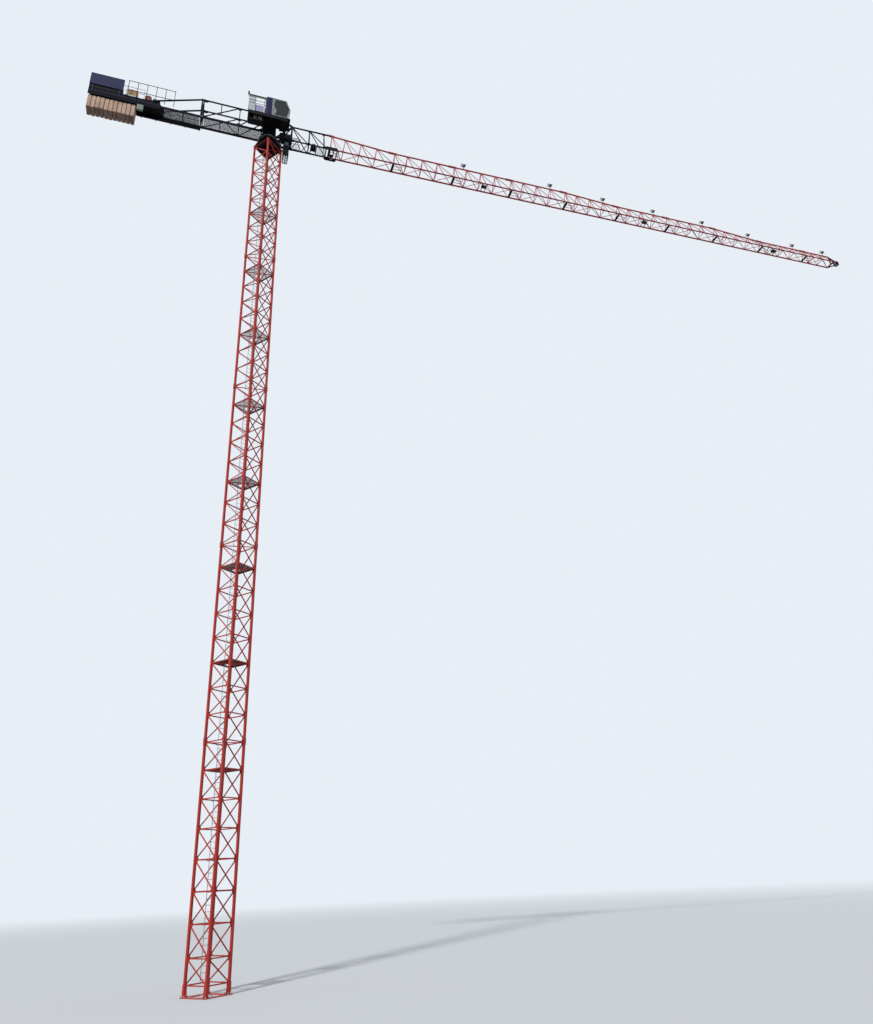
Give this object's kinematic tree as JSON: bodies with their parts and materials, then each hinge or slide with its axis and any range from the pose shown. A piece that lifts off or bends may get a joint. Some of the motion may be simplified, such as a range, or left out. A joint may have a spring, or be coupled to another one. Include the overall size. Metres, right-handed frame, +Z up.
{
  "type": "tower crane, 1:2 scale model",
  "caption": "Flat-top tower crane at half scale: square lattice mast, slewing head with cab, long triangular jib with trolley and ballasted counter-jib.",
  "frame": {"origin": "centre of the mast on the underside of its setting frame, at ground level", "axes": "+Z up along the mast, +X along the jib at rest, -Y the side of the cab"},
  "size_m": [36.7951, 1.5773, 31.863],
  "materials": {
    "red_paint": "satin",
    "navy_paint": "satin",
    "black_paint": "satin",
    "board_blue": "semi-gloss",
    "machined_steel": "oiled",
    "galvanised": "matt",
    "concrete": "rough concrete",
    "motor_crimson": "satin",
    "cabinet_beige": "satin",
    "cab_grey": "satin",
    "cab_glazing": "tinted",
    "box_lilac": "satin"
  },
  "bodies": {
    "mast": {"mast_anchors": "red_paint", "mast_section_1": "red_paint", "mast_section_2": "red_paint", "mast_section_3": "red_paint", "mast_section_4": "red_paint", "mast_section_5": "red_paint", "access": "galvanised", "slewing_support": "black_paint", "slewing_ring_lower": "machined_steel"},
    "upper": {"slewing_ring_upper": "machined_steel", "turntable": "black_paint", "slew_drives": "machined_steel", "slewing_column": "black_paint", "jib_root": "navy_paint", "jib_section_1": "red_paint", "jib_section_2": "red_paint", "jib_section_3": "red_paint", "jib_section_4": "red_paint", "jib_section_5": "red_paint", "jib_section_6": "red_paint", "jib_section_7": "red_paint", "jib_section_8": "red_paint", "jib_section_9": "red_paint", "jib_tip": "red_paint", "tip_head": "black_paint", "rope_rollers": "black_paint", "floodlights": "black_paint", "trolley_winch": "black_paint", "counter_jib_front": "navy_paint", "counter_jib_rear": "navy_paint", "counter_deck": "galvanised", "counter_rails": "galvanised", "ballast": "concrete", "hoist_winch": "navy_paint", "winch_drum": "motor_crimson", "electric_cabinet": "cabinet_beige", "rear_board": "board_blue", "open_board": "black_paint", "cab_platform": "black_paint", "cab_body": "cab_grey", "cab_glass": "cab_glazing", "side_board": "board_blue", "switch_box": "box_lilac"},
    "trolley": {"trolley": "black_paint", "hook_block": "black_paint"}
  },
  "joints": [
    {"name": "slewing", "type": "hinge", "parent": "mast", "child": "upper", "pos_m": [0, 0, 30.123], "axis": [0, 0, 1], "continuous": true},
    {"name": "trolley_travel", "type": "slide", "parent": "upper", "child": "trolley", "axis": [0.9998, 0, 0.0175], "range_m": [-1, 26.3]}
  ]
}
